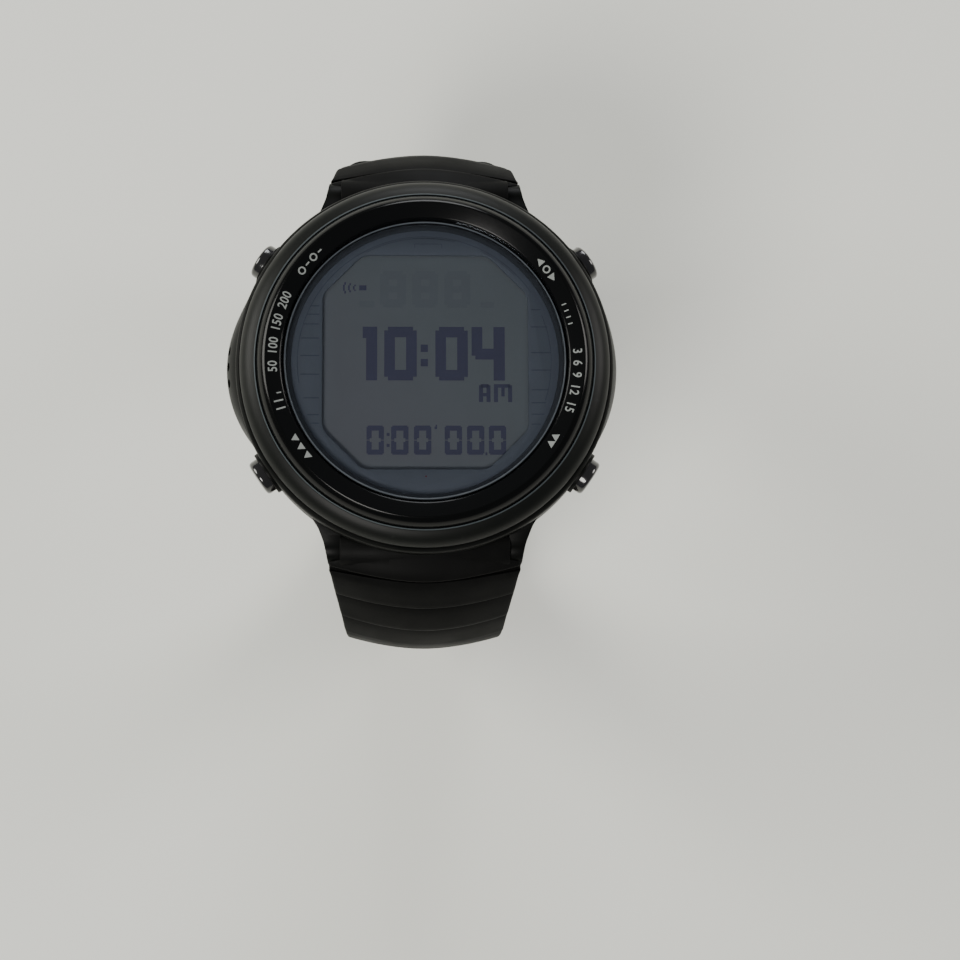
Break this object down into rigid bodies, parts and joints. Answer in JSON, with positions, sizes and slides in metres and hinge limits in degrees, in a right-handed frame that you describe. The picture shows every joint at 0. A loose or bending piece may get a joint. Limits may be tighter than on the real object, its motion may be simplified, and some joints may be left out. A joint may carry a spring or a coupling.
{
  "type": "wrist dive computer",
  "caption": "Round black wrist dive computer: recessed flat lens over an eight-sided display, side covers, radial push buttons, ribbed two-piece strap with pin buckle.",
  "frame": {"origin": "centre of the case back's outer face", "axes": "+Z out of the dial, +Y to 12 o'clock, +X to 3 o'clock"},
  "size_m": [0.0517, 0.0742, 0.0761],
  "materials": {
    "composite_black": "moulded black composite, satin, fine grain",
    "polished_black": "gloss black",
    "elastomer_black": "matte black elastomer",
    "rubber_seal": "soft black seal rubber",
    "coated_steel": "black coated steel, satin",
    "bright_steel": "satin stainless steel",
    "lens_glass": "clear hardened glass, polished",
    "dial_slate": "slate blue printed mask, satin",
    "panel_grey": "greenish grey liquid crystal panel",
    "diffuser_white": "white diffuser",
    "board_green": "solder mask green",
    "module_grey": "moulded dark grey",
    "brass_disc": "bright brass",
    "copper_wire": "lacquered copper wire"
  },
  "bodies": {
    "case": {"case_body": "composite_black", "bezel_ring": "composite_black", "sensor_cover": "composite_black", "side_cover": "composite_black", "case_back_gasket": "rubber_seal", "bezel_gasket": "rubber_seal", "lens_gasket": "rubber_seal", "case_back": "bright_steel", "battery_contact": "bright_steel", "battery": "bright_steel", "pressure_sensor": "bright_steel", "strap_pin_upper": "bright_steel", "strap_pin_lower": "bright_steel", "case_back_screw_1": "bright_steel", "case_back_screw_2": "bright_steel", "case_back_screw_3": "bright_steel", "case_back_screw_4": "bright_steel", "lens": "lens_glass", "display_mask": "dial_slate", "lcd_panel": "panel_grey", "backlight_plate": "diffuser_white", "circuit_board": "board_green", "module_frame": "module_grey", "buzzer_disc": "brass_disc", "receiver_coil": "copper_wire", "button_seal_upper_right": "rubber_seal", "button_spring_upper_right": "bright_steel", "button_seal_lower_right": "rubber_seal", "button_spring_lower_right": "bright_steel", "button_seal_lower_left": "rubber_seal", "button_spring_lower_left": "bright_steel", "button_seal_upper_left": "rubber_seal", "button_spring_upper_left": "bright_steel"},
    "button_upper_right": {"button_upper_right": "polished_black", "button_clip_upper_right": "bright_steel"},
    "button_lower_right": {"button_lower_right": "polished_black", "button_clip_lower_right": "bright_steel"},
    "button_lower_left": {"button_lower_left": "polished_black", "button_clip_lower_left": "bright_steel"},
    "button_upper_left": {"button_upper_left": "polished_black", "button_clip_upper_left": "bright_steel"},
    "strap_upper": {"strap_upper": "elastomer_black", "keeper_fixed": "elastomer_black", "buckle_pin": "coated_steel"},
    "keeper_free": {"keeper_free": "elastomer_black"},
    "buckle_frame": {"buckle_frame": "coated_steel"},
    "buckle_tongue": {"buckle_tongue": "coated_steel"},
    "strap_lower": {"strap_lower": "elastomer_black"}
  },
  "joints": [
    {"name": "press_upper_right", "type": "slide", "parent": "case", "child": "button_upper_right", "axis": [-0.829, -0.5592, 0], "range_m": [0, 0.0008], "stiffness_N_per_m": 600, "springref_m": -0.0008, "deforming": ["button_spring_upper_right"]},
    {"name": "press_lower_right", "type": "slide", "parent": "case", "child": "button_lower_right", "axis": [-0.829, 0.5592, 0], "range_m": [0, 0.0008], "stiffness_N_per_m": 600, "springref_m": -0.0008, "deforming": ["button_spring_lower_right"]},
    {"name": "press_lower_left", "type": "slide", "parent": "case", "child": "button_lower_left", "axis": [0.829, 0.5592, 0], "range_m": [0, 0.0008], "stiffness_N_per_m": 600, "springref_m": -0.0008, "deforming": ["button_spring_lower_left"]},
    {"name": "press_upper_left", "type": "slide", "parent": "case", "child": "button_upper_left", "axis": [0.829, -0.5592, 0], "range_m": [0, 0.0008], "stiffness_N_per_m": 600, "springref_m": -0.0008, "deforming": ["button_spring_upper_left"]},
    {"name": "strap_upper_hinge", "type": "hinge", "parent": "case", "child": "strap_upper", "pos_m": [0, 0.0236, 0.0057], "axis": [1, 0, 0], "range_deg": [-12, 25]},
    {"name": "strap_lower_hinge", "type": "hinge", "parent": "case", "child": "strap_lower", "pos_m": [0, -0.0236, 0.0057], "axis": [-1, 0, 0], "range_deg": [-8, 25]},
    {"name": "keeper_free_slide", "type": "slide", "parent": "strap_upper", "child": "keeper_free", "axis": [0, 0.087, 0.9962], "range_m": [0, 0.008]},
    {"name": "buckle_frame_hinge", "type": "hinge", "parent": "strap_upper", "child": "buckle_frame", "pos_m": [0, 0.02519, -0.03761], "axis": [1, 0, 0], "range_deg": [-60, 18]},
    {"name": "buckle_tongue_hinge", "type": "hinge", "parent": "buckle_frame", "child": "buckle_tongue", "pos_m": [0, 0.02519, -0.03761], "axis": [1, 0, 0], "range_deg": [0, 60]}
  ]
}
